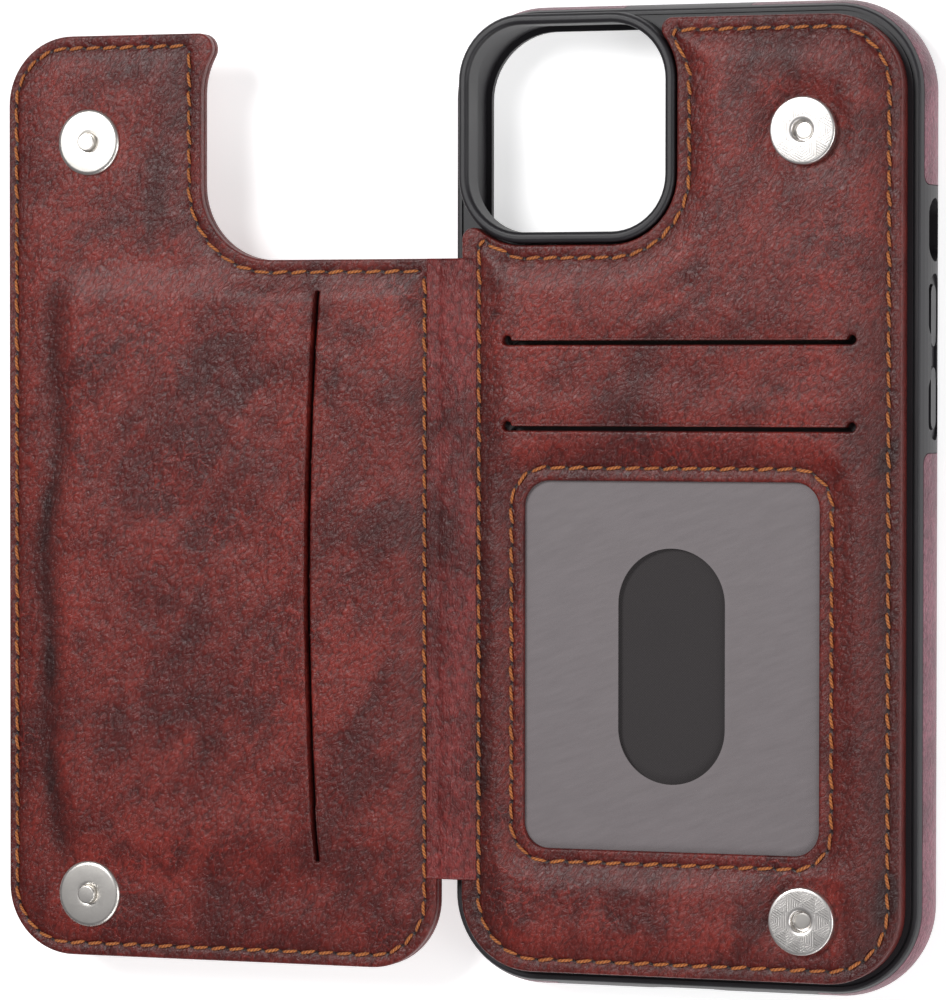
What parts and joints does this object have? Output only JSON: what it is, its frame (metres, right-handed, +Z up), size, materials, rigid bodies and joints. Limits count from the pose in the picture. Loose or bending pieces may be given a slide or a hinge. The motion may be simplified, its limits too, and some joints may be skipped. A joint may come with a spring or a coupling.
{
  "type": "phone wallet case",
  "caption": "Moulded phone tray with a stitched leather card panel, ID window and a fold-over flap closed by magnetic clasps.",
  "frame": {"origin": "centre of the open case's bounding box in plan, on the table it lies on with the phone opening down", "axes": "+Z up, out of the leather face; +Y towards the phone's top end (camera end); +X towards the volume keys, away from the flap"},
  "size_m": [0.1518, 0.153, 0.0154],
  "materials": {
    "tpu": "black satin moulded elastomer",
    "tpu_pad": "black satin moulded elastomer",
    "leather": "burgundy marbled leather with a soft gloss",
    "board": "fibre board",
    "lining": "dark woven lining",
    "film": "frosted clear film",
    "thread": "orange-tan waxed thread",
    "nickel": "polished nickel plate",
    "magnet": "plated magnet ring",
    "steel": "plated steel"
  },
  "bodies": {
    "case": {"tray": "tpu", "inlay_upper_right": "leather", "inlay_lower_right": "leather", "inlay_upper_left": "leather", "inlay_lower_left": "leather", "panel_backing": "board", "pocket_divider": "lining", "window_film": "film", "panel_facing": "leather", "panel_stitching": "thread", "window_stitching": "thread", "socket_cover": "nickel", "socket_magnet": "magnet", "socket_rivet": "steel", "socket_washer": "steel", "hinge_strip": "leather"},
    "flap": {"flap_outer": "leather", "flap_board": "board", "flap_lining": "lining", "flap_inner": "leather", "flap_stitching": "thread", "stud_disc": "nickel", "stud_rivet": "nickel", "stud_washer": "steel"},
    "volume_up_key": {"volume_up_pad": "tpu_pad"},
    "volume_down_key": {"volume_down_pad": "tpu_pad"},
    "power_key": {"power_pad": "tpu_pad"}
  },
  "joints": [
    {"name": "flap_fold", "type": "hinge", "parent": "case", "child": "flap", "pos_m": [-0.00195, 0, 0.01465], "axis": [0, 1, 0], "range_deg": [-8, 180]},
    {"name": "volume_up_press", "type": "slide", "parent": "case", "child": "volume_up_key", "axis": [-1, 0, 0], "range_m": [0, 0.0003], "stiffness_N_per_m": 1500},
    {"name": "volume_down_press", "type": "slide", "parent": "case", "child": "volume_down_key", "axis": [-1, 0, 0], "range_m": [0, 0.0003], "stiffness_N_per_m": 1500},
    {"name": "power_press", "type": "slide", "parent": "case", "child": "power_key", "axis": [1, 0, 0], "range_m": [0, 0.0003], "stiffness_N_per_m": 1500}
  ]
}
